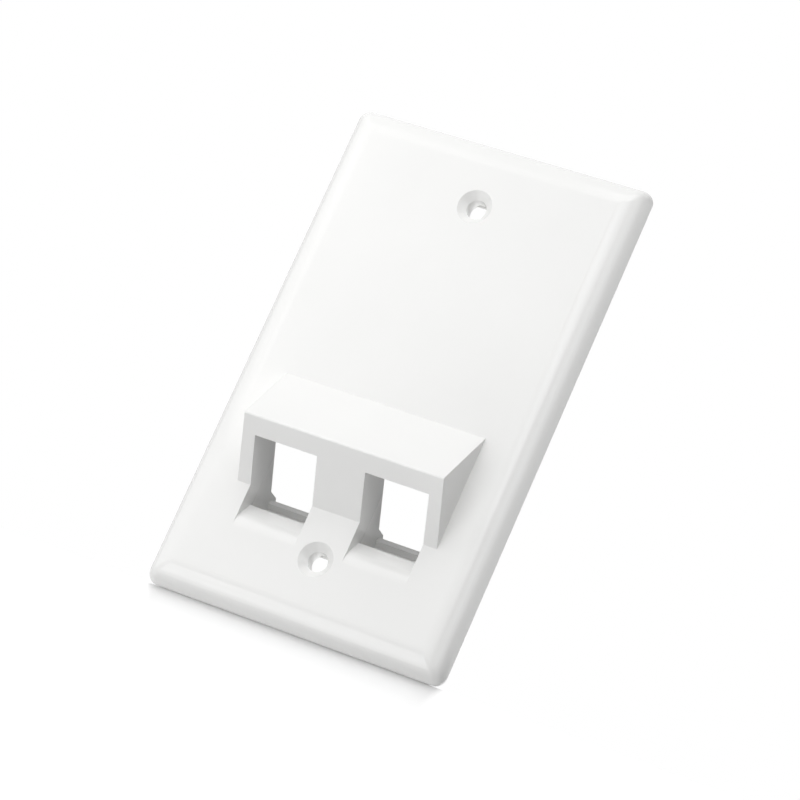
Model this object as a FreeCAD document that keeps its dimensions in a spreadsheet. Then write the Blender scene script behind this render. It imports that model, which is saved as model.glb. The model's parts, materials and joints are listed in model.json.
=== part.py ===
"""Angled two-port keystone faceplate, one moulded piece, as a parametric document.

Frame: +X across the plate, +Y up it, +Z out of its face. The origin is the middle
of the plane that the rim's back edge lies in. Everything below Z = 0 stands in the
wall box behind the plate.
"""
import FreeCAD, Part
import os

import Sketcher

SHEET = "Dimensions"
NEAR = 0.01

# name, value in millimetres or degrees, what it sizes
DIMENSIONS = [
    ("plate_width", 69.85, "one-gang plate, across"),
    ("plate_height", 114.3, "one-gang plate, up"),
    ("plate_depth", 4.8, "back edge of the rim to the flat face"),
    ("wall", 2.0, "skin of the plate and of the hood"),
    ("rim_width", 5.8, "outline to where the face starts to curve down"),
    ("shoulder_radius", 7.0, "gentle arc where the rim leaves the face"),
    ("corner_radius", 2.5, "corners of the outline"),
    ("rim_land", 2.4, "flat edge that meets the wall"),
    ("hollow_corner", 1.2, "corners of the hollow back"),
    ("hollow_fillet", 2.2, "inside bend from the rim to the skin"),
    ("screw_spacing", 83.34, "between the two fixing screws"),
    ("screw_bore", 4.4, "clearance hole for the screw"),
    ("countersink_mouth", 7.7, "countersink at the face"),
    ("countersink_angle", 90.0, "included angle of the countersink"),
    ("boss_diameter", 9.6, "post round each screw hole"),
    ("web_flat", 1.76, "hole axis to the straight edge of the screw-holding web"),
    ("web_thickness", 0.5, "thickness of that web"),
    ("hood_width", 47.2, "hood across, at the rim's back plane"),
    ("hood_height", 11.6, "face to the ridge of the hood"),
    ("hood_draft", 1.5, "draft of the hood's two sides"),
    ("ridge_drop", 19.7, "plate centre down to the ridge"),
    ("ridge_fillet", 0.45, "rounding of the ridge"),
    ("roof_angle", 40.0, "roof to the plate"),
    ("front_angle", 45.0, "ported front to the plate"),
    ("port_offset", 12.97, "plate centre line to a port's centre line"),
    ("port_width", 14.73, "port opening across"),
    ("port_top", 4.66, "ridge down the front to the port's top edge"),
    ("port_height", 16.84, "port opening down the front"),
    ("ramp_round", 4.7, "rounded lead-in where a ramp meets the face"),
    ("housing_wall", 2.0, "side walls of the port housing"),
    ("housing_depth", 9.65, "front to the back edge of the side walls"),
    ("gusset_depth", 12.1, "front to the back edge of their lower ends"),
    ("gusset_start", 0.9, "port floor down to where the side walls start to deepen"),
    ("gusset_rise", 2.6, "length of that slope, down the front"),
    ("sill_depth", 0.6, "front to the drop behind the ramp"),
    ("hook_drop", 4.5, "port floor down to the bottom of the hook recess"),
    ("catch_front", 8.5, "front to the lower catch bar"),
    ("catch_thickness", 1.7, "lower catch bar, front to back"),
    ("catch_step", 3.15, "port floor down to the top of the lower catch bar"),
    ("latch_rise", 2.3, "port's top edge up to the roof of the latch recess"),
    ("latch_front", 6.5, "front to the upper catch bar"),
    ("latch_thickness", 1.7, "upper catch bar, front to back"),
    ("latch_step", 1.1, "port's top edge up to the upper catch bar"),
    ("cut_margin", 2.0, "how far each cut runs past what it cuts"),
]


def make_sheet(doc):
    """Puts every driving dimension in a spreadsheet cell that has its name."""
    sheet = doc.addObject("Spreadsheet::Sheet", SHEET)
    for row, (name, value, note) in enumerate(DIMENSIONS, start=1):
        sheet.set(f"A{row}", name)
        sheet.set(f"B{row}", str(value))
        sheet.setAlias(f"B{row}", name)
        sheet.set(f"C{row}", note)
    doc.recompute()
    return sheet


def bound(text):
    """The expression with each dimension's name pointing at its cell."""
    for name in sorted((name for name, _, _ in DIMENSIONS), key=len, reverse=True):
        text = text.replace(f"<{name}>", f"{SHEET}.{name}")
    return text


# Places and lengths that several features share, worked out from the dimensions.
RIDGE_Y = "(-<ridge_drop>)"
RIDGE_Z = "(<plate_depth> + <hood_height>)"
SKIN_BACK = "(<plate_depth> - <wall>)"
SKIN_MIDDLE = "(<plate_depth> - <wall> / 2)"
RIDGE_ANGLES = "(<front_angle> + <roof_angle>)"
APEX_SET_IN = f"<wall> / (1 + cos{RIDGE_ANGLES})"
INNER_APEX_Y = f"({RIDGE_Y} - {APEX_SET_IN} * (sin(<roof_angle>) - sin(<front_angle>)))"
INNER_APEX_Z = f"({RIDGE_Z} - {APEX_SET_IN} * (cos(<roof_angle>) + cos(<front_angle>)))"
PORT_FLOOR = "(<port_top> + <port_height>)"
HOUSING_FLOOR = f"({PORT_FLOOR} + <hook_drop>)"
HOUSING_BOTTOM = f"({HOUSING_FLOOR} + <housing_wall>)"
PORT_BACK = "(<gusset_depth> + <cut_margin>)"
EDGE_RADIUS = (
    "((<rim_width> ^ 2 + <plate_depth> ^ 2 - 2 * <plate_depth> * <shoulder_radius>)"
    " / (2 * (<rim_width> - <shoulder_radius>)))"
)


class Model:
    """The body, with short ways to add features whose sizes stay bound to the sheet."""

    def __init__(self, doc, sheet, name):
        self.doc = doc
        self.sheet = sheet
        self.body = doc.addObject("PartDesign::Body", name)
        self.body.Label = name

    def value(self, text):
        return float(self.sheet.evalExpression(bound(text)))

    def plane(self, role):
        return next(o for o in self.body.Origin.OriginFeatures if o.Role == role)

    def sketch(self, name, role, offset="0"):
        """An empty sketch on an origin plane, moved along that plane's normal."""
        sketch = self.body.newObject("Sketcher::SketchObject", name)
        sketch.AttachmentSupport = [(self.plane(role), "")]
        sketch.MapMode = "FlatFace"
        sketch.setExpression("AttachmentOffset.Base.z", bound(offset))
        return sketch

    def port_sketch(self, name, offset="0"):
        """A sketch seen from the side, at the ridge: X runs into the port, Y up the front."""
        sketch = self.sketch(name, "YZ_Plane", offset)
        sketch.setExpression("AttachmentOffset.Base.x", bound(RIDGE_Y))
        sketch.setExpression("AttachmentOffset.Base.y", bound(RIDGE_Z))
        sketch.setExpression("AttachmentOffset.Rotation.Angle", bound("<front_angle> - 90"))
        return sketch

    def fix(self, sketch, geometry, point, place):
        """Holds one point of a sketch at a place given as two expressions."""
        for kind, text in zip(("DistanceX", "DistanceY"), place):
            rule = Sketcher.Constraint(kind, -1, 1, geometry, point, self.value(text))
            index = sketch.addConstraint(rule)
            sketch.setExpression(f"Constraints[{index}]", bound(text))

    def polygon(self, sketch, places):
        """A closed outline of straight lines through the places."""
        corners = [FreeCAD.Vector(self.value(x), self.value(y), 0) for x, y in places]
        first = sketch.GeometryCount
        count = len(corners)
        for i in range(count):
            sketch.addGeometry(Part.LineSegment(corners[i], corners[(i + 1) % count]))
        for i in range(count):
            joint = ("Coincident", first + i, 2, first + (i + 1) % count, 1)
            sketch.addConstraint(Sketcher.Constraint(*joint))
        for i, place in enumerate(places):
            self.fix(sketch, first + i, 1, place)

    def circle(self, sketch, place, diameter):
        centre = FreeCAD.Vector(self.value(place[0]), self.value(place[1]), 0)
        up = FreeCAD.Vector(0, 0, 1)
        index = sketch.addGeometry(Part.Circle(centre, up, self.value(diameter) / 2))
        self.fix(sketch, index, 3, place)
        size = Sketcher.Constraint("Diameter", index, self.value(diameter))
        sketch.setExpression(f"Constraints[{sketch.addConstraint(size)}]", bound(diameter))

    def extrude(self, kind, name, sketch, length, symmetric=False, reverse=False):
        """A Pad or a Pocket of the sketch; it has to add or remove material."""
        before = self.volume()
        feature = self.body.newObject(f"PartDesign::{kind}", name)
        feature.Profile = sketch
        feature.SideType = "Symmetric" if symmetric else "One side"
        feature.Reversed = reverse
        feature.setExpression("Length", bound(length))
        self.doc.recompute()
        change = self.volume() - before
        if (kind == "Pad") != (change > 0) or abs(change) < 1e-3:
            raise RuntimeError(f"{name} changed the volume by {change:.3f}")
        return feature

    def volume(self):
        shape = self.body.Shape
        return 0.0 if shape.isNull() else shape.Volume

    def fillet(self, name, radius, wanted):
        """Rounds the edges whose bounding boxes the test picks."""
        base = self.body.Tip
        boxes = [edge.BoundBox for edge in base.Shape.Edges]
        edges = [f"Edge{i}" for i, box in enumerate(boxes, start=1) if wanted(box)]
        if not edges:
            raise RuntimeError(f"{name} found no edge")
        feature = self.body.newObject("PartDesign::Fillet", name)
        feature.Base = (base, edges)
        feature.setExpression("Radius", bound(radius))
        self.doc.recompute()


def rim_trim(model, name, role, across):
    """Cuts two opposite sides of the plate down to the rim's curve.

    Each side is cut to two tangent arcs: a gentle shoulder leaving the face, then a
    tighter edge that stands upright at the back plane.
    """
    sketch = model.sketch(name + "Outline", role)
    depth = model.value("<plate_depth>")
    half = model.value(f"{across} / 2")
    shoulder = model.value("<shoulder_radius>")
    edge = model.value(EDGE_RADIUS)
    margin = model.value("<cut_margin>")
    inset = model.value("<rim_width>")
    for side in (1, -1):
        sign = "" if side > 0 else "-"
        outer = f"{sign}({across} / 2 + <cut_margin>)"
        inner = f"{sign}({across} / 2 - <rim_width>)"
        foot = FreeCAD.Vector(side * half, 0, 0)
        foot_out = FreeCAD.Vector(side * (half + margin), 0, 0)
        top_out = FreeCAD.Vector(side * (half + margin), depth + margin, 0)
        top_in = FreeCAD.Vector(side * (half - inset), depth + margin, 0)
        start = FreeCAD.Vector(side * (half - inset), depth, 0)
        shoulder_centre = FreeCAD.Vector(side * (half - inset), depth - shoulder, 0)
        edge_centre = FreeCAD.Vector(side * (half - edge), 0, 0)
        meet = shoulder_centre + (edge_centre - shoulder_centre).normalize() * shoulder
        up = FreeCAD.Vector(0, 1, 0)
        out = FreeCAD.Vector(side, 0, 0)
        bend = (meet - edge_centre).normalize()
        shoulder_middle = shoulder_centre + (bend + up).normalize() * shoulder
        edge_middle = edge_centre + (bend + out).normalize() * edge
        first = sketch.GeometryCount
        path = [foot, foot_out, top_out, top_in, start]
        for a, b in zip(path, path[1:]):
            sketch.addGeometry(Part.LineSegment(a, b))
        sketch.addGeometry(Part.Arc(start, shoulder_middle, meet))
        sketch.addGeometry(Part.Arc(meet, edge_middle, foot))
        line_end, shoulder_arc, edge_arc = first + 3, first + 4, first + 5
        for i in range(3):
            sketch.addConstraint(Sketcher.Constraint("Coincident", first + i, 2, first + i + 1, 1))
        # An arc's first point is the one it reaches when it is followed anticlockwise.
        low, high = (1, 2) if side > 0 else (2, 1)
        sketch.addConstraint(Sketcher.Constraint("Coincident", line_end, 2, shoulder_arc, high))
        sketch.addConstraint(Sketcher.Constraint("Tangent", shoulder_arc, low, edge_arc, high))
        sketch.addConstraint(Sketcher.Constraint("Coincident", edge_arc, low, first, 1))
        model.fix(sketch, first, 1, (f"{sign}{across} / 2", "0"))
        model.fix(sketch, first + 1, 1, (outer, "0"))
        model.fix(sketch, first + 2, 1, (outer, "<plate_depth> + <cut_margin>"))
        model.fix(sketch, first + 3, 1, (inner, "<plate_depth> + <cut_margin>"))
        model.fix(sketch, first + 3, 2, (inner, "<plate_depth>"))
        model.fix(sketch, shoulder_arc, 3, (inner, "<plate_depth> - <shoulder_radius>"))
        level = Sketcher.Constraint("DistanceY", -1, 1, edge_arc, 3, 0)
        sketch.addConstraint(level)
    length = "2 * (<plate_width> + <plate_height>)"
    return model.extrude("Pocket", name, sketch, length, symmetric=True)


def rectangle(half_x, half_y):
    return [
        (f"-{half_x}", f"-{half_y}"),
        (half_x, f"-{half_y}"),
        (half_x, half_y),
        (f"-{half_x}", half_y),
    ]


def add_plate(model):
    """The plate: a block with curved sides and a hollow back."""
    block = model.sketch("PlateOutline", "XY_Plane")
    model.polygon(block, rectangle("<plate_width> / 2", "<plate_height> / 2"))
    model.extrude("Pad", "PlateBlock", block, "<plate_depth>")
    rim_trim(model, "RimSides", "XZ_Plane", "<plate_width>")
    rim_trim(model, "RimEnds", "YZ_Plane", "<plate_height>")

    def is_mitre(box):
        return min(box.XLength, box.YLength, box.ZLength) > NEAR

    model.fillet("OutlineCorners", "<corner_radius>", is_mitre)

    hollow = model.sketch("HollowOutline", "XY_Plane")
    half_x = "(<plate_width> / 2 - <rim_land>)"
    half_y = "(<plate_height> / 2 - <rim_land>)"
    model.polygon(hollow, rectangle(half_x, half_y))
    model.extrude("Pocket", "HollowBack", hollow, SKIN_BACK, reverse=True)
    reach_x = model.value(half_x)
    reach_y = model.value(half_y)
    ceiling = model.value(SKIN_BACK)

    def in_hollow(box):
        across = max(-box.XMin, box.XMax) < reach_x + NEAR
        return across and max(-box.YMin, box.YMax) < reach_y + NEAR

    def is_hollow_corner(box):
        return in_hollow(box) and abs(box.ZLength - ceiling) < NEAR

    def is_ceiling(box):
        return in_hollow(box) and max(ceiling - box.ZMin, box.ZMax - ceiling) < NEAR

    model.fillet("HollowCorners", "<hollow_corner>", is_hollow_corner)
    model.fillet("HollowFillet", "<hollow_fillet>", is_ceiling)


def add_hood(model):
    """The wedge that leans both ports down: a ridged shell, open at the back."""
    foot = SKIN_MIDDLE
    rise = f"({RIDGE_Z} - {foot})"
    wedge = model.sketch("HoodSection", "YZ_Plane")
    model.polygon(
        wedge,
        [
            (f"{RIDGE_Y} - {rise} / tan(<front_angle>)", foot),
            (f"{RIDGE_Y} + {rise} / tan(<roof_angle>)", foot),
            (RIDGE_Y, RIDGE_Z),
        ],
    )
    wedge_pad = model.extrude("Pad", "Hood", wedge, "<hood_width>", symmetric=True)

    half = model.value("<hood_width> / 2")
    boxes = [side.BoundBox for side in wedge_pad.Shape.Faces]
    sides = [
        f"Face{i}"
        for i, box in enumerate(boxes, start=1)
        if box.XLength < NEAR and abs(abs(box.XMin) - half) < NEAR
    ]
    draft = model.body.newObject("PartDesign::Draft", "HoodDraft")
    draft.Base = (wedge_pad, sides)
    draft.NeutralPlane = (model.plane("XY_Plane"), "")
    draft.setExpression("Angle", bound("<hood_draft>"))
    model.doc.recompute()

    ridge = model.value(RIDGE_Z)

    def is_ridge(box):
        return box.ZMin > ridge - NEAR and box.XLength > half

    model.fillet("RidgeFillet", "<ridge_fillet>", is_ridge)

    inner_rise = f"({INNER_APEX_Z} - {SKIN_BACK})"
    shell = model.sketch("HoodInside", "YZ_Plane")
    model.polygon(
        shell,
        [
            (f"{INNER_APEX_Y} - {inner_rise} / tan(<front_angle>)", SKIN_BACK),
            (f"{INNER_APEX_Y} + {inner_rise} / tan(<roof_angle>)", SKIN_BACK),
            (INNER_APEX_Y, INNER_APEX_Z),
        ],
    )
    width = "<hood_width> - 2 * <wall>"
    model.extrude("Pocket", "HoodHollow", shell, width, symmetric=True)


def add_housing(model):
    """The box behind the hood that carries the ports' side walls and floors."""
    spread = f"tan({RIDGE_ANGLES})"
    roof_middle = f"<wall> / 2 / sin{RIDGE_ANGLES}"
    front = "<wall> / 2"
    lip = "(<sill_depth> - <housing_wall>)"
    drop = f"(({RIDGE_Z} - {SKIN_MIDDLE}) / sin(<front_angle>))"
    ramp_back = f"({PORT_FLOOR} + <housing_wall>)"
    toe = f"(({drop} - {ramp_back}) * tan(<front_angle>))"
    section = model.port_sketch("HousingSection")
    model.polygon(
        section,
        [
            (front, f"-({roof_middle} - {front} / {spread})"),
            (front, f"-({drop} - {front} / tan(<front_angle>))"),
            (toe, f"-{ramp_back}"),
            (lip, f"-{ramp_back}"),
            (lip, f"-{HOUSING_BOTTOM}"),
            ("<gusset_depth>", f"-{HOUSING_BOTTOM}"),
            ("<gusset_depth>", f"-({PORT_FLOOR} + <gusset_start> + <gusset_rise>)"),
            ("<housing_depth>", f"-({PORT_FLOOR} + <gusset_start>)"),
            ("<housing_depth>", f"-({roof_middle} - <housing_depth> / {spread})"),
        ],
    )
    width = "2 * <port_offset> + <port_width> + 2 * <housing_wall>"
    model.extrude("Pad", "Housing", section, width, symmetric=True)

    inner_rise = f"({INNER_APEX_Z} - {SKIN_BACK})"
    depth = f"({HOUSING_BOTTOM} + <gusset_depth>)"
    wall_foot = f"({HOUSING_BOTTOM} * cos(<front_angle>) - {lip} * sin(<front_angle>))"
    ramp_foot = f"({ramp_back} * cos(<front_angle>) - {toe} * sin(<front_angle>))"
    below = f"({RIDGE_Y} - max({wall_foot}; {ramp_foot}) - <cut_margin>)"
    behind = f"({INNER_APEX_Y} + {inner_rise} / tan(<roof_angle>))"
    gap = model.sketch("GapSection", "YZ_Plane")
    model.polygon(
        gap,
        [
            (INNER_APEX_Y, INNER_APEX_Z),
            (f"{INNER_APEX_Y} - {inner_rise} / tan(<front_angle>)", SKIN_BACK),
            (below, SKIN_BACK),
            (below, f"-{depth}"),
            (behind, f"-{depth}"),
            (behind, SKIN_BACK),
        ],
    )
    between = "2 * <port_offset> - <port_width> - 2 * <housing_wall>"
    model.extrude("Pocket", "GapBetweenPorts", gap, between, symmetric=True)


def port_opening(model, name, offset):
    """One port, straight through the front, with its floor run out as a ramp."""
    sketch = model.port_sketch(name + "Section", offset)
    slope = "<front_angle>"
    meet = f"(({PORT_FLOOR} * sin({slope}) - <hood_height>) / cos({slope}))"
    bend = f"(<ramp_round> * tan((90 - {slope}) / 2))"
    ramp_end = (f"-({meet} - {bend})", f"-{PORT_FLOOR}")
    face_end = (f"-({meet} + {bend} * sin({slope}))", f"-({PORT_FLOOR} + {bend} * cos({slope}))")
    clear = f"-({meet} + <ramp_round> + <cut_margin>)"
    places = [
        face_end,
        (clear, "-<port_top>"),
        (PORT_BACK, "-<port_top>"),
        (PORT_BACK, f"-{PORT_FLOOR}"),
        ramp_end,
    ]
    corners = [FreeCAD.Vector(model.value(x), model.value(y), 0) for x, y in places]
    for a, b in zip(corners, corners[1:]):
        sketch.addGeometry(Part.LineSegment(a, b))
    radius = model.value("<ramp_round>")
    centre = corners[4] - FreeCAD.Vector(0, radius, 0)
    bisector = (corners[4] + corners[0] - centre * 2).normalize()
    arc = sketch.addGeometry(Part.Arc(corners[4], centre + bisector * radius, corners[0]))
    for i in range(3):
        sketch.addConstraint(Sketcher.Constraint("Coincident", i, 2, i + 1, 1))
    sketch.addConstraint(Sketcher.Constraint("Tangent", 3, 2, arc, 1))
    sketch.addConstraint(Sketcher.Constraint("Coincident", arc, 2, 0, 1))
    for i, place in enumerate(places[:4]):
        model.fix(sketch, i, 1, place)
    model.fix(sketch, 3, 2, places[4])
    model.extrude("Pocket", name, sketch, "<port_width>", symmetric=True)


def hook_recess(model, name, offset):
    """The drop behind the ramp, with the lower catch bar left standing in it."""
    bar_back = "(<catch_front> + <catch_thickness>)"
    bar_top = f"-({PORT_FLOOR} + <catch_step>)"
    above = f"-({PORT_FLOOR} - <cut_margin>)"
    sketch = model.port_sketch(name + "Section", offset)
    model.polygon(
        sketch,
        [
            ("<sill_depth>", above),
            ("<sill_depth>", f"-{HOUSING_FLOOR}"),
            ("<catch_front>", f"-{HOUSING_FLOOR}"),
            ("<catch_front>", bar_top),
            (bar_back, bar_top),
            (bar_back, f"-{HOUSING_FLOOR}"),
            (PORT_BACK, f"-{HOUSING_FLOOR}"),
            (PORT_BACK, above),
        ],
    )
    model.extrude("Pocket", name, sketch, "<port_width>", symmetric=True)


def latch_recess(model, name, offset):
    """The space above the port for a jack's latch, with the upper catch bar in it."""
    bar_back = "(<latch_front> + <latch_thickness>)"
    bar_foot = "-(<port_top> - <latch_step>)"
    roof = "-(<port_top> - <latch_rise>)"
    below = "-(<port_top> + <cut_margin>)"
    sketch = model.port_sketch(name + "Section", offset)
    model.polygon(
        sketch,
        [
            ("<wall>", below),
            (PORT_BACK, below),
            (PORT_BACK, roof),
            (bar_back, roof),
            (bar_back, bar_foot),
            ("<latch_front>", bar_foot),
            ("<latch_front>", roof),
            ("<wall>", roof),
        ],
    )
    model.extrude("Pocket", name, sketch, "<port_width>", symmetric=True)


def add_ports(model):
    for side, offset in (("Left", "-<port_offset>"), ("Right", "<port_offset>")):
        port_opening(model, f"{side}Port", offset)
        hook_recess(model, f"{side}HookRecess", offset)
        latch_recess(model, f"{side}LatchRecess", offset)


def add_screw_holes(model):
    """A post, a countersunk hole and a screw-holding web at each end."""
    places = [("0", "-<screw_spacing> / 2"), ("0", "<screw_spacing> / 2")]
    posts = model.sketch("PostOutline", "XY_Plane")
    for place in places:
        model.circle(posts, place, "<boss_diameter>")
    model.extrude("Pad", "ScrewPosts", posts, SKIN_MIDDLE)

    centres = model.sketch("HoleCentres", "XY_Plane", "<plate_depth>")
    for place in places:
        model.circle(centres, place, "<screw_bore>")
    model.doc.recompute()
    before = model.volume()
    hole = model.body.newObject("PartDesign::Hole", "ScrewHoles")
    hole.Profile = centres
    hole.ThreadType = "None"
    hole.DepthType = "ThroughAll"
    hole.HoleCutType = "Countersink"
    hole.setExpression("Diameter", bound("<screw_bore>"))
    hole.setExpression("HoleCutDiameter", bound("<countersink_mouth>"))
    hole.setExpression("HoleCutCountersinkAngle", bound("<countersink_angle>"))
    model.doc.recompute()
    if model.volume() >= before:
        raise RuntimeError("ScrewHoles cut nothing")

    webs = model.sketch("WebOutline", "XY_Plane")
    reach = "(<screw_bore> / 2 + (<boss_diameter> - <screw_bore>) / 4)"
    for _, y in places:
        half = f"sqrt({reach} ^ 2 - <web_flat> ^ 2)"
        far = f"({y} + {reach})"
        near = f"({y} + <web_flat>)"
        web = [(f"-{half}", near), (half, near), (f"{half} / 2", far), (f"-{half} / 2", far)]
        model.polygon(webs, web)
    model.extrude("Pad", "ScrewWebs", webs, "<web_thickness>")


def check(doc, body):
    """Stops the build if any object failed or the solid isn't a good one."""
    for item in doc.Objects:
        if "Invalid" in item.State or "Error" in item.State:
            raise RuntimeError(f"{item.Name} is {item.State}")
    shape = body.Shape
    if shape.isNull() or not shape.isValid() or len(shape.Solids) != 1:
        raise RuntimeError(f"{body.Label} isn't one valid solid")


def main():
    doc = FreeCAD.newDocument("KeystoneFaceplate")
    sheet = make_sheet(doc)
    model = Model(doc, sheet, "faceplate")
    add_plate(model)
    add_hood(model)
    add_housing(model)
    add_ports(model)
    add_screw_holes(model)
    model.body.Placement = FreeCAD.Placement()
    doc.recompute()
    check(doc, model.body)
    os.makedirs("parts", exist_ok=True)
    model.body.Shape.exportStep(os.path.join("parts", model.body.Label + ".step"))
    box = model.body.Shape.BoundBox
    print(f"{model.body.Label}: {box.XLength:.2f} x {box.YLength:.2f} x {box.ZLength:.2f} mm,")
    print(f"  from Z {box.ZMin:.2f} to {box.ZMax:.2f}, volume {model.body.Shape.Volume:.0f} mm3")


main()
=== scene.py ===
"""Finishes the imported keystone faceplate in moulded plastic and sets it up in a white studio.

Everything is in metres, in the frame of the part: +X across the plate, +Y up it and
+Z out of its face, with the origin in the middle of the rim's back edge.
"""
import json
import math

import bpy
from mathutils import Matrix, Vector


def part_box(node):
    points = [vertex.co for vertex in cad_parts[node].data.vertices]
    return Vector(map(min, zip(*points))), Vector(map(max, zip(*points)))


bl_info = {
    "name": "Keystone Faceplate Studio",
    "version": (1, 0, 0),
    "blender": (4, 5, 0),
    "location": "3D View > Sidebar > Faceplate",
    "description": "Gives the keystone faceplate its moulded finish and its studio",
    "category": "Object",
}

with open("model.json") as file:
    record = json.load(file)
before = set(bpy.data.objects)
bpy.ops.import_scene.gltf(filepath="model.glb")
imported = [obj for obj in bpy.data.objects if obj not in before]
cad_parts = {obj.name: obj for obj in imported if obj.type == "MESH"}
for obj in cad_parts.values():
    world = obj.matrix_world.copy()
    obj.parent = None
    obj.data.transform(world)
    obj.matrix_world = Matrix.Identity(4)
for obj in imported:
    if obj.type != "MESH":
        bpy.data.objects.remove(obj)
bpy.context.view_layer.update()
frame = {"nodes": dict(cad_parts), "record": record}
PLATE_LOW, PLATE_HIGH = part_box("faceplate")
PLASTIC = frame["record"]["materials"][0]
MM = 0.001
WHITE = (1.0, 1.0, 1.0, 1.0)

# Half of the stretch of the lower edge that stands over the table, clear of its round corners.
STANDING_HALF = PLATE_HIGH.x - 3 * MM
# The table's glow starts this far in front of that stretch, and so many times nearer past its ends;
# short of that the table gets no glow, a painted shade along the edge.
SHADOW_START = 2 * MM
SIDE_HASTE = 3.0

# The table: half its width, how far it reaches in front of the lower edge and behind it, and
# how far it stays clear below that edge.
TABLE_HALF_WIDTH = 160 * MM
TABLE_FRONT = 110 * MM
TABLE_UNDER = 4 * MM
TABLE_GAP = 0.12 * MM

# The soft glows of the sky: turn from the plate's lower edge to its right and height above
# its face, both in degrees, how narrow the glow is, and strength.
GLOWS = (
    ("over the top edge", 180.0, 40.0, 6.0, 1.2),
    ("behind the top edge", 180.0, -15.0, 20.0, 1.5),
    ("in front", 0.0, 10.0, 20.0, 2.6),
    ("from the table at the right", 30.0, -20.0, 20.0, 8.7),
)

# The lamps: direction from the plate, distance and side of the square in metres, and power
# in watts.
LAMPS = (
    ("above the lower edge", (-0.38, -0.5, 0.77), 0.8, 0.35, 0.96),
    ("above the top edge", (0.2, 0.45, 0.87), 0.8, 0.4, 0.79),
    ("beyond the top edge", (0.0, 0.77, 0.64), 0.8, 0.5, 1.45),
    ("overhead", (0.05, 0.1, 1.0), 0.8, 0.5, 0.48),
    ("right", (0.75, 0.3, 0.57), 0.8, 0.5, 0.8),
    ("in front", (-0.3, -0.9, 0.6), 0.8, 0.5, 0.86),
    ("close over the left", (-0.5, 0.1, 0.85), 0.3, 0.2, 0.05),
    ("close at the left", (-0.9, 0.1, 0.35), 0.35, 0.25, 0.09),
    ("close at the top left", (-0.5, 0.5, 0.7), 0.35, 0.25, 0.13),
    ("close at the upper left", (-0.7, 0.5, 0.5), 0.25, 0.2, 0.06),
    ("close at the lower left", (-0.7, -0.6, 0.35), 0.3, 0.2, 0.055),
)


class Nodes:
    """Short ways to place nodes in a node tree and to wire them up."""

    def __init__(self, tree):
        self.tree = tree
        tree.nodes.clear()

    def add(self, kind, label="", inputs=None, **settings):
        """Places a node and sets its properties and its sockets' values or links."""
        node = self.tree.nodes.new(kind)
        node.label = label
        node.location = (220 * len(self.tree.nodes), 0)
        for name, value in settings.items():
            setattr(node, name, value)
        for name, value in (inputs or {}).items():
            self.feed(node.inputs[name], value)
        return node

    def feed(self, socket, value):
        """Links an output to the socket, or sets the socket to a plain value."""
        if isinstance(value, bpy.types.NodeSocket):
            self.tree.links.new(value, socket)
        else:
            socket.default_value = value

    def math(self, operation, first, second=0.0, label=""):
        node = self.add("ShaderNodeMath", label, {0: first, 1: second}, operation=operation)
        return node.outputs[0]

    def smooth(self, value, start, end, low=0.0, high=1.0, label=""):
        """Goes smoothly from low to high as value goes from start to end."""
        inputs = {"Value": value, "From Min": start, "From Max": end, "To Min": low, "To Max": high}
        node = self.add("ShaderNodeMapRange", label, inputs, interpolation_type="SMOOTHSTEP")
        return node.outputs["Result"]


def new_group(name, inputs, outputs):
    """A new shader group: its tree, a way to place its nodes, and the sockets of its inputs."""
    tree = bpy.data.node_groups.new(name, "ShaderNodeTree")
    for direction, sockets in (("INPUT", inputs), ("OUTPUT", outputs)):
        for label, kind in sockets:
            tree.interface.new_socket(label, in_out=direction, socket_type=kind)
    nodes = Nodes(tree)
    entry = nodes.add("NodeGroupInput")
    return tree, nodes, entry.outputs


def place_group(nodes, tree, inputs):
    return nodes.add("ShaderNodeGroup", tree.name, inputs, node_tree=tree)


def moulded_skin_group():
    """The faint unevenness of polished moulded plastic: flow of the melt and fine ripple."""
    tree, nodes, entry = new_group(
        "Moulded skin",
        [
            ("Position", "NodeSocketVector"),
            ("Ripple size", "NodeSocketFloat"),
            ("Flow size", "NodeSocketFloat"),
            ("Grain size", "NodeSocketFloat"),
        ],
        [
            ("Ripple", "NodeSocketFloat"),
            ("Flow", "NodeSocketFloat"),
            ("Grain", "NodeSocketFloat"),
        ],
    )
    results = {}
    for name, detail in (("Ripple", 1.0), ("Flow", 2.0), ("Grain", 3.0)):
        scale = nodes.math("DIVIDE", 1.0, entry[f"{name} size"], f"{name} scale")
        noise = {"Vector": entry["Position"], "Scale": scale, "Detail": detail}
        results[name] = nodes.add("ShaderNodeTexNoise", name, noise).outputs["Fac"]
    nodes.add("NodeGroupOutput", inputs=results)
    return tree


def toward(turn, height):
    """The direction turned from the plate's lower edge to its right, and raised above its face."""
    level = math.cos(height)
    return Vector((math.sin(turn) * level, -math.cos(turn) * level, math.sin(height)))


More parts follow.
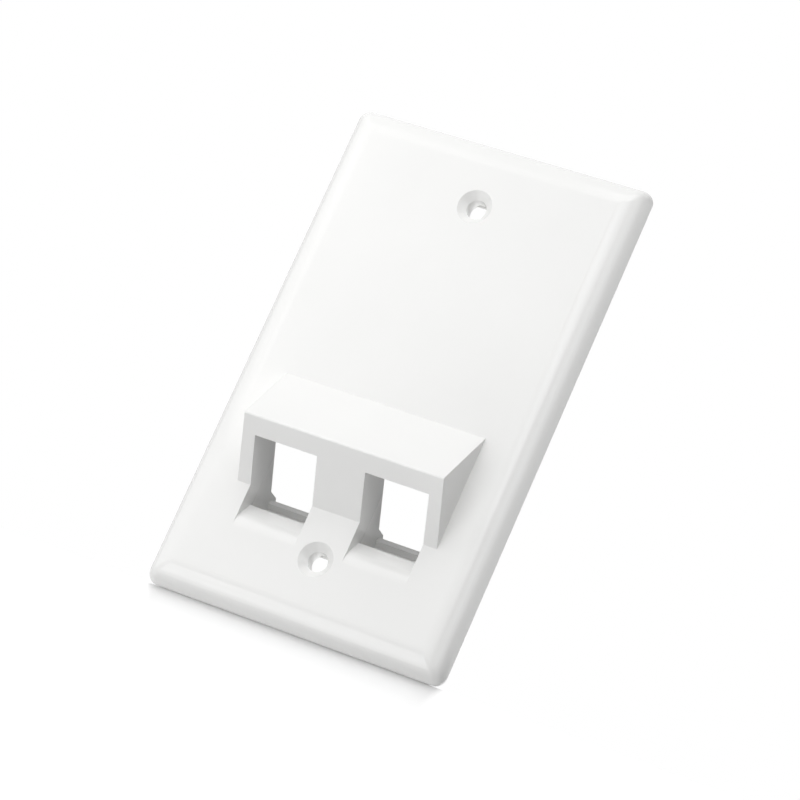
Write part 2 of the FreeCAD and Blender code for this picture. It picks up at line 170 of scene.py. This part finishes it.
class PlasticSettings(bpy.types.PropertyGroup):
    """The finish of the moulded plastic."""

    colour: bpy.props.FloatVectorProperty(
        name="Colour",
        description="Colour of the plastic",
        default=PLASTIC["base_color"],
        size=3,
        min=0.0,
        max=1.0,
        subtype="COLOR",
    )
    face_roughness: bpy.props.FloatProperty(
        name="Face roughness",
        description="Roughness of the polished outer face",
        default=0.12,
        min=0.0,
        max=1.0,
        subtype="FACTOR",
    )
    polish_change: bpy.props.FloatProperty(
        name="Polish change",
        description="How far the face's roughness drifts either way with the flow of the melt",
        default=0.008,
        min=0.0,
        max=0.1,
        subtype="FACTOR",
    )
    back_roughness: bpy.props.FloatProperty(
        name="Back roughness",
        description="Roughness of the back and of the inside, which the mould leaves matt",
        default=0.38,
        min=0.0,
        max=1.0,
        subtype="FACTOR",
    )
    edge_radius: bpy.props.FloatProperty(
        name="Edge radius",
        description="Rounding that the mould gives to every sharp edge",
        default=0.08 * MM,
        min=0.0,
        unit="LENGTH",
    )
    ripple_size: bpy.props.FloatProperty(
        name="Ripple size",
        description="Distance between the faint ripples of the glossy skin",
        default=1.6 * MM,
        min=0.01 * MM,
        unit="LENGTH",
    )
    ripple_height: bpy.props.FloatProperty(
        name="Ripple height",
        description="Height of those ripples",
        default=0.0008 * MM,
        min=0.0,
        unit="LENGTH",
    )
    flow_size: bpy.props.FloatProperty(
        name="Flow size",
        description="Size of the faint clouds that the melt leaves in the colour",
        default=18.0 * MM,
        min=0.1 * MM,
        unit="LENGTH",
    )
    flow_tint: bpy.props.FloatProperty(
        name="Flow tint",
        description="Brightness of the colour in the middle of those clouds",
        default=0.99,
        min=0.0,
        max=1.0,
        subtype="FACTOR",
    )
    grain_size: bpy.props.FloatProperty(
        name="Grain size",
        description="Size of the grain on the matt back",
        default=0.22 * MM,
        min=0.01 * MM,
        unit="LENGTH",
    )
    grain_height: bpy.props.FloatProperty(
        name="Grain height",
        description="Height of the grain on the matt back",
        default=0.004 * MM,
        min=0.0,
        unit="LENGTH",
    )


class StudioSettings(bpy.types.PropertyGroup):
    """The white table, the light and the camera."""

    table_tilt: bpy.props.FloatProperty(
        name="Table tilt",
        description="Angle between the back of the plate and the table it stands on",
        default=math.radians(22.0),
        subtype="ANGLE",
    )
    table_grey: bpy.props.FloatProperty(
        name="Table grey",
        description="How much light the table throws back on the plate",
        default=0.75,
        min=0.0,
        max=1.0,
        subtype="FACTOR",
    )
    table_white: bpy.props.FloatProperty(
        name="Table white",
        description="How pale the table looks to the camera",
        default=0.96,
        min=0.0,
        max=1.0,
        subtype="FACTOR",
    )
    table_glow: bpy.props.FloatProperty(
        name="Table glow",
        description="Light added to the table where the camera sees it, so that it is white",
        default=0.2,
        min=0.0,
    )
    shadow_reach: bpy.props.FloatProperty(
        name="Shadow reach",
        description="How far from the plate's lower edge the table has its full glow",
        default=12.0 * MM,
        min=0.0,
        unit="LENGTH",
    )
    sky_strength: bpy.props.FloatProperty(
        name="Sky",
        description="Strength of the soft light from all round",
        default=1.0,
        min=0.0,
    )
    orbit: bpy.props.FloatProperty(
        name="Camera direction",
        description="Turn of the camera round the plate, from its lower edge to its right",
        default=math.radians(56.2),
        subtype="ANGLE",
    )
    height: bpy.props.FloatProperty(
        name="Camera height",
        description="Angle of the camera above the plate's face",
        default=math.radians(63.219),
        subtype="ANGLE",
    )
    roll: bpy.props.FloatProperty(
        name="Camera roll",
        description="Turn of the camera about its own line of sight",
        default=math.radians(34.917),
        subtype="ANGLE",
    )
    distance: bpy.props.FloatProperty(
        name="Camera distance",
        description="Distance from the camera to the point it looks at",
        default=0.66054,
        min=0.1,
        unit="LENGTH",
    )
    target: bpy.props.FloatVectorProperty(
        name="Camera target",
        description="Point on the plate's face that the camera looks at",
        default=(0.00259, -0.003814, 0.0048),
        size=3,
        subtype="XYZ_LENGTH",
    )
    field: bpy.props.FloatProperty(
        name="Camera field",
        description="Angle that the camera sees from side to side",
        default=math.radians(14.3318),
        subtype="ANGLE",
    )


def plastic_material(finish):
    """White plastic: glossy outside, matt with a fine grain behind, every edge slightly round."""
    material = bpy.data.materials.new("Moulded white plastic")
    material.use_nodes = True
    nodes = Nodes(material.node_tree)
    place = nodes.add("ShaderNodeTexCoord", "Place on the plate")
    sizes = {
        "Position": place.outputs["Object"],
        "Ripple size": finish.ripple_size,
        "Flow size": finish.flow_size,
        "Grain size": finish.grain_size,
    }
    skin = place_group(nodes, moulded_skin_group(), sizes)

    # The back is what turns away from the room or lies behind the skin of the plate.
    facing = nodes.add("ShaderNodeSeparateXYZ", "Facing", {0: place.outputs["Normal"]})
    level = nodes.add("ShaderNodeSeparateXYZ", "Level", {0: place.outputs["Object"]})
    turned = nodes.smooth(facing.outputs["Z"], -0.05, -0.35, label="Turned to the wall")
    behind = nodes.smooth(level.outputs["Z"], 0.2 * MM, -0.6 * MM, label="Behind the plate")
    back = nodes.math("MAXIMUM", turned, behind, "Back")

    cloud = nodes.smooth(skin.outputs["Flow"], 0.35, 0.75, label="Cloud")
    plain = (*finish.colour, 1.0)
    tinted = (*(finish.flow_tint * channel for channel in finish.colour), 1.0)
    colour = nodes.add(
        "ShaderNodeMix",
        "Flow of the melt",
        {"Factor": cloud, "A": plain, "B": tinted},
        data_type="RGBA",
    )

    change = finish.polish_change
    shine = nodes.smooth(skin.outputs["Flow"], 0.3, 0.7, -change, change, "Uneven polish")
    rough = nodes.smooth(back, 0.0, 1.0, finish.face_roughness, finish.back_roughness, "Polish or matt")
    roughness = nodes.math("ADD", rough, shine, "Roughness")

    ripple = nodes.math("MULTIPLY", skin.outputs["Ripple"], finish.ripple_height, "Ripple height")
    grain = nodes.math("MULTIPLY", skin.outputs["Grain"], finish.grain_height, "Grain height")
    grain_behind = nodes.math("MULTIPLY", grain, back, "Grain on the back")
    height = nodes.math("ADD", ripple, grain_behind, "Height")
    edges = nodes.add("ShaderNodeBevel", "Round edges", {"Radius": finish.edge_radius}, samples=8)
    bump = nodes.add(
        "ShaderNodeBump",
        "Surface",
        {"Strength": 1.0, "Distance": 1.0, "Height": height, "Normal": edges.outputs["Normal"]},
    )
    shader = nodes.add(
        "ShaderNodeBsdfPrincipled",
        "Plastic",
        {
            "Base Color": colour.outputs["Result"],
            "Roughness": roughness,
            "IOR": 1.5,
            "Normal": bump.outputs["Normal"],
        },
    )
    nodes.add("ShaderNodeOutputMaterial", inputs={"Surface": shader.outputs["BSDF"]})
    return material


def seen_directly(nodes):
    """1 for rays that show a surface or the sky as a picture, 0 for rays that carry its light."""
    path = nodes.add("ShaderNodeLightPath")
    seen = nodes.math("MAXIMUM", path.outputs["Is Camera Ray"], path.outputs["Is Glossy Ray"])
    return nodes.math("MAXIMUM", seen, path.outputs["Is Transmission Ray"], "Seen")


def table_material(studio):
    """White with a painted glow, left out near the plate's lower edge as a painted shade; it keeps the
    shadow and isn't there when seen from beneath.
    """
    material = bpy.data.materials.new("White table")
    material.use_nodes = True
    nodes = Nodes(material.node_tree)
    seen = seen_directly(nodes)

    # Painted shade: the glow is left out near the lower edge and comes back with the distance from it,
    # and faster past its ends.
    place = nodes.add("ShaderNodeTexCoord", "Place on the table")
    spot = nodes.add("ShaderNodeSeparateXYZ", "Spot", {0: place.outputs["Object"]})
    sideways = nodes.math("ABSOLUTE", spot.outputs["X"])
    past_end = nodes.math("SUBTRACT", sideways, STANDING_HALF, "Past the end")
    beside = nodes.math("MULTIPLY", nodes.math("MAXIMUM", past_end, 0.0), SIDE_HASTE, "Beside")
    before = nodes.math("SUBTRACT", PLATE_LOW.y, spot.outputs["Y"], "Before")
    beside_squared = nodes.math("POWER", beside, 2.0)
    before_squared = nodes.math("POWER", before, 2.0)
    away = nodes.math("SQRT", nodes.math("ADD", beside_squared, before_squared), label="Away")
    reach = studio.shadow_reach
    # Glow for the camera that is zero near the lower edge, which paints shade there on top of the real
    # shadow.
    glow_clear_of_painted_shade = nodes.smooth(away, SHADOW_START, reach, 0.0, studio.table_glow, "Glow clear of the painted shade")
    glow = nodes.math("MULTIPLY", seen, glow_clear_of_painted_shade, "Glow")
    grey = nodes.smooth(seen, 0.0, 1.0, studio.table_grey, studio.table_white, "White or grey")
    diffuse = nodes.add("ShaderNodeBsdfDiffuse", "Table", {"Color": grey})
    emission = nodes.add("ShaderNodeEmission", "White", {"Color": WHITE, "Strength": glow})
    top = nodes.add("ShaderNodeAddShader", "", {0: diffuse.outputs[0], 1: emission.outputs[0]})
    side = nodes.add("ShaderNodeNewGeometry", "Side")
    clear = nodes.add("ShaderNodeBsdfTransparent", "From beneath")
    surface = nodes.add(
        "ShaderNodeMixShader",
        "",
        {0: side.outputs["Backfacing"], 1: top.outputs[0], 2: clear.outputs[0]},
    )
    nodes.add("ShaderNodeOutputMaterial", inputs={"Surface": surface.outputs[0]})
    return material


def lay_table(studio):
    """A white sheet under the lower edge, which slopes away behind the plate.

    Behind the lower edge it is only as wide as the plate hides, so that the ports and
    the screw holes show white.
    """
    tilt = studio.table_tilt
    down = Vector((0.0, -math.sin(tilt), -math.cos(tilt)))
    away = Vector((0.0, math.cos(tilt), -math.sin(tilt)))
    edge = Vector((0.0, PLATE_LOW.y, 0.0)) + down * TABLE_GAP
    front = edge - away * TABLE_FRONT
    under = edge + away * TABLE_UNDER
    across = Vector((TABLE_HALF_WIDTH, 0.0, 0.0))
    hidden = Vector((STANDING_HALF, 0.0, 0.0))
    corners = [
        front - across,
        front + across,
        edge + across,
        edge + hidden,
        under + hidden,
        under - hidden,
        edge - hidden,
        edge - across,
    ]
    mesh = bpy.data.meshes.new("table")
    mesh.from_pydata(corners, [], [range(len(corners))])
    mesh.materials.append(table_material(studio))
    table = bpy.data.objects.new("table", mesh)
    bpy.context.scene.collection.objects.link(table)


def make_sky(studio):
    """A white world to look at, which lights the plate by broad soft glows."""
    world = bpy.data.worlds.new("Studio")
    world.use_nodes = True
    nodes = Nodes(world.node_tree)
    place = nodes.add("ShaderNodeTexCoord", "Direction")
    light = 0.0
    for name, turn, height, narrowness, strength in GLOWS:
        near = nodes.add(
            "ShaderNodeVectorMath",
            name,
            {0: place.outputs["Generated"], 1: toward(math.radians(turn), math.radians(height))},
            operation="DOT_PRODUCT",
        )
        side = nodes.math("MAXIMUM", near.outputs["Value"], 0.0)
        glow = nodes.math("POWER", side, narrowness)
        share = nodes.math("MULTIPLY", glow, strength * studio.sky_strength)
        light = nodes.math("ADD", share, light)
    seen = seen_directly(nodes)
    shown = nodes.add("ShaderNodeMix", "Seen or lighting", {"Factor": seen, "A": light, "B": 1.0})
    sky = {"Color": WHITE, "Strength": shown.outputs["Result"]}
    background = nodes.add("ShaderNodeBackground", "Sky", sky)
    nodes.add("ShaderNodeOutputWorld", inputs={"Surface": background.outputs[0]})
    bpy.context.scene.world = world


def aim(thing, place, target, roll=0.0):
    """Puts a lamp or camera at a place, pointed at a target and turned about its sight line."""
    sight = (target - place).to_track_quat("-Z", "Y").to_matrix().to_4x4()
    thing.matrix_world = Matrix.Translation(place) @ sight @ Matrix.Rotation(roll, 4, "Z")


def hang_light(name, direction, distance, size, power):
    """A square soft light in the given direction from the middle of the plate."""
    lamp = bpy.data.lights.new(name, "AREA")
    lamp.shape = "SQUARE"
    lamp.size = size
    lamp.energy = power
    light = bpy.data.objects.new(name, lamp)
    bpy.context.scene.collection.objects.link(light)
    aim(light, Vector(direction).normalized() * distance, Vector((0.0, 0.0, 0.0)))


def place_camera(studio):
    camera = bpy.data.cameras.new("camera")
    camera.angle = studio.field
    camera.clip_start = 0.05
    camera.clip_end = 10.0
    viewer = bpy.data.objects.new("camera", camera)
    bpy.context.scene.collection.objects.link(viewer)
    target = Vector(studio.target)
    back = toward(studio.orbit, studio.height) * studio.distance
    aim(viewer, target + back, target, -studio.roll)
    bpy.context.scene.camera = viewer


class FACEPLATE_OT_finish_plate(bpy.types.Operator):
    """Gives the faceplate its moulded white plastic"""

    bl_idname = "faceplate.finish_plate"
    bl_label = "Finish the plate"

    def execute(self, context):
        plate = frame["nodes"]["faceplate"]
        material = plastic_material(context.scene.faceplate_plastic)
        for slot in plate.material_slots:
            slot.material = material
        return {"FINISHED"}


class FACEPLATE_OT_set_studio(bpy.types.Operator):
    """Lays the white table, hangs the lights and places the camera"""

    bl_idname = "faceplate.set_studio"
    bl_label = "Set the studio"

    def execute(self, context):
        studio = context.scene.faceplate_studio
        lay_table(studio)
        make_sky(studio)
        for lamp in LAMPS:
            hang_light(*lamp)
        place_camera(studio)
        context.scene.view_settings.view_transform = "Standard"
        return {"FINISHED"}


class FACEPLATE_PT_studio(bpy.types.Panel):
    """The steps of the faceplate's finish and its studio"""

    bl_label = "Keystone faceplate"
    bl_idname = "FACEPLATE_PT_studio"
    bl_space_type = "VIEW_3D"
    bl_region_type = "UI"
    bl_category = "Faceplate"

    def draw(self, context):
        for settings, step in (
            (context.scene.faceplate_plastic, FACEPLATE_OT_finish_plate),
            (context.scene.faceplate_studio, FACEPLATE_OT_set_studio),
        ):
            box = self.layout.box()
            for name in settings.__annotations__:
                box.prop(settings, name)
            box.operator(step.bl_idname)


CLASSES = (
    PlasticSettings,
    StudioSettings,
    FACEPLATE_OT_finish_plate,
    FACEPLATE_OT_set_studio,
    FACEPLATE_PT_studio,
)


def register():
    for item in CLASSES:
        bpy.utils.register_class(item)
    bpy.types.Scene.faceplate_plastic = bpy.props.PointerProperty(type=PlasticSettings)
    bpy.types.Scene.faceplate_studio = bpy.props.PointerProperty(type=StudioSettings)


def unregister():
    del bpy.types.Scene.faceplate_studio
    del bpy.types.Scene.faceplate_plastic
    for item in reversed(CLASSES):
        bpy.utils.unregister_class(item)


def main():
    register()
    bpy.ops.faceplate.finish_plate()
    bpy.ops.faceplate.set_studio()


if __name__ == "__main__":
    main()
